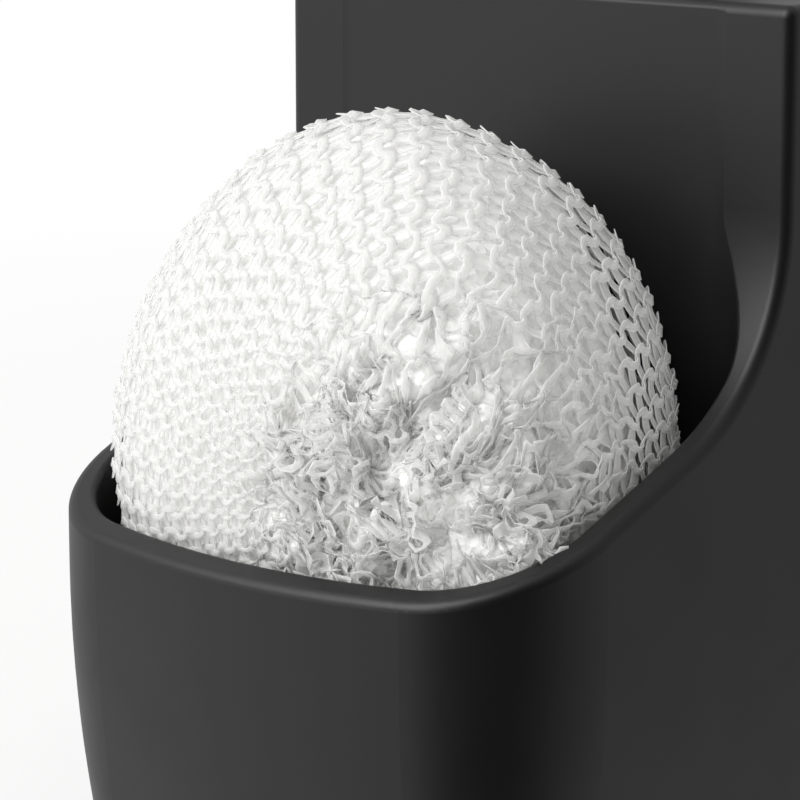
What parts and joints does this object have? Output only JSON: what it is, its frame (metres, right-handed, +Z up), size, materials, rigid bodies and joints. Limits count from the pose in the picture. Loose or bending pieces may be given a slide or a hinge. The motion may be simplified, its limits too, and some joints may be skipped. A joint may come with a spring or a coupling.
{
  "type": "soap pump caddy",
  "caption": "Matte black ceramic soap bottle with a front pocket that holds a knitted mesh dish scrubber, and a press pump in its mouth.",
  "frame": {"origin": "on the counter, under the middle of the body", "axes": "+Z up, -Y to the front of the pocket, +X to the right seen from the front"},
  "size_m": [0.088, 0.108, 0.169],
  "materials": {
    "black_glaze": "matte glaze",
    "foot_rubber": "matte",
    "neck_plastic": "moulded",
    "seal_rubber": "soft",
    "pump_plastic": "moulded natural",
    "tube_plastic": "extruded",
    "satin_steel": "satin",
    "spring_steel": "drawn",
    "nylon_mesh": "knitted ribbon",
    "nylon_thread": "twisted"
  },
  "bodies": {
    "caddy": {"caddy_body": "black_glaze", "foot_pad_front_left": "foot_rubber", "foot_pad_front_right": "foot_rubber", "foot_pad_rear_left": "foot_rubber", "foot_pad_rear_right": "foot_rubber", "neck_ring": "neck_plastic"},
    "pump_core": {"neck_gasket": "seal_rubber", "pump_barrel": "pump_plastic", "stem_guide": "pump_plastic", "dip_tube": "tube_plastic", "return_spring": "spring_steel"},
    "collar": {"collar_shell": "satin_steel", "collar_liner": "neck_plastic"},
    "piston": {"piston_seal": "seal_rubber"},
    "head": {"head_shell": "satin_steel", "head_core": "neck_plastic", "spout": "satin_steel", "stem_sleeve": "satin_steel", "plunger_stem": "pump_plastic", "piston_plug": "pump_plastic"},
    "inlet_ball": {"check_ball": "spring_steel"},
    "scrubber": {"scrubber_pad": "nylon_mesh", "scrubber_tie": "nylon_thread"}
  },
  "joints": [
    {"name": "pump_lift", "type": "slide", "parent": "caddy", "child": "pump_core", "axis": [0, 0, 1], "range_m": [0, 0.12]},
    {"name": "collar_unscrew", "type": "hinge", "parent": "pump_core", "child": "collar", "pos_m": [0, 0.0292, 0.123], "axis": [0, 0, 1], "range_deg": [0, 450]},
    {"name": "pump_press", "type": "slide", "parent": "pump_core", "child": "piston", "axis": [0, 0, -1], "range_m": [0, 0.016], "stiffness_N_per_m": 500, "springref_m": -0.015, "deforming": ["return_spring"]},
    {"name": "head_turn", "type": "hinge", "parent": "piston", "child": "head", "pos_m": [0, 0.0292, 0.153], "axis": [0, 0, 1], "continuous": true},
    {"name": "inlet_ball_lift", "type": "slide", "parent": "pump_core", "child": "inlet_ball", "axis": [0, 0, 1], "range_m": [0, 0.0015]},
    {"name": "scrubber_lift", "type": "slide", "parent": "caddy", "child": "scrubber", "axis": [0, 0, 1], "range_m": [0, 0.034]}
  ]
}
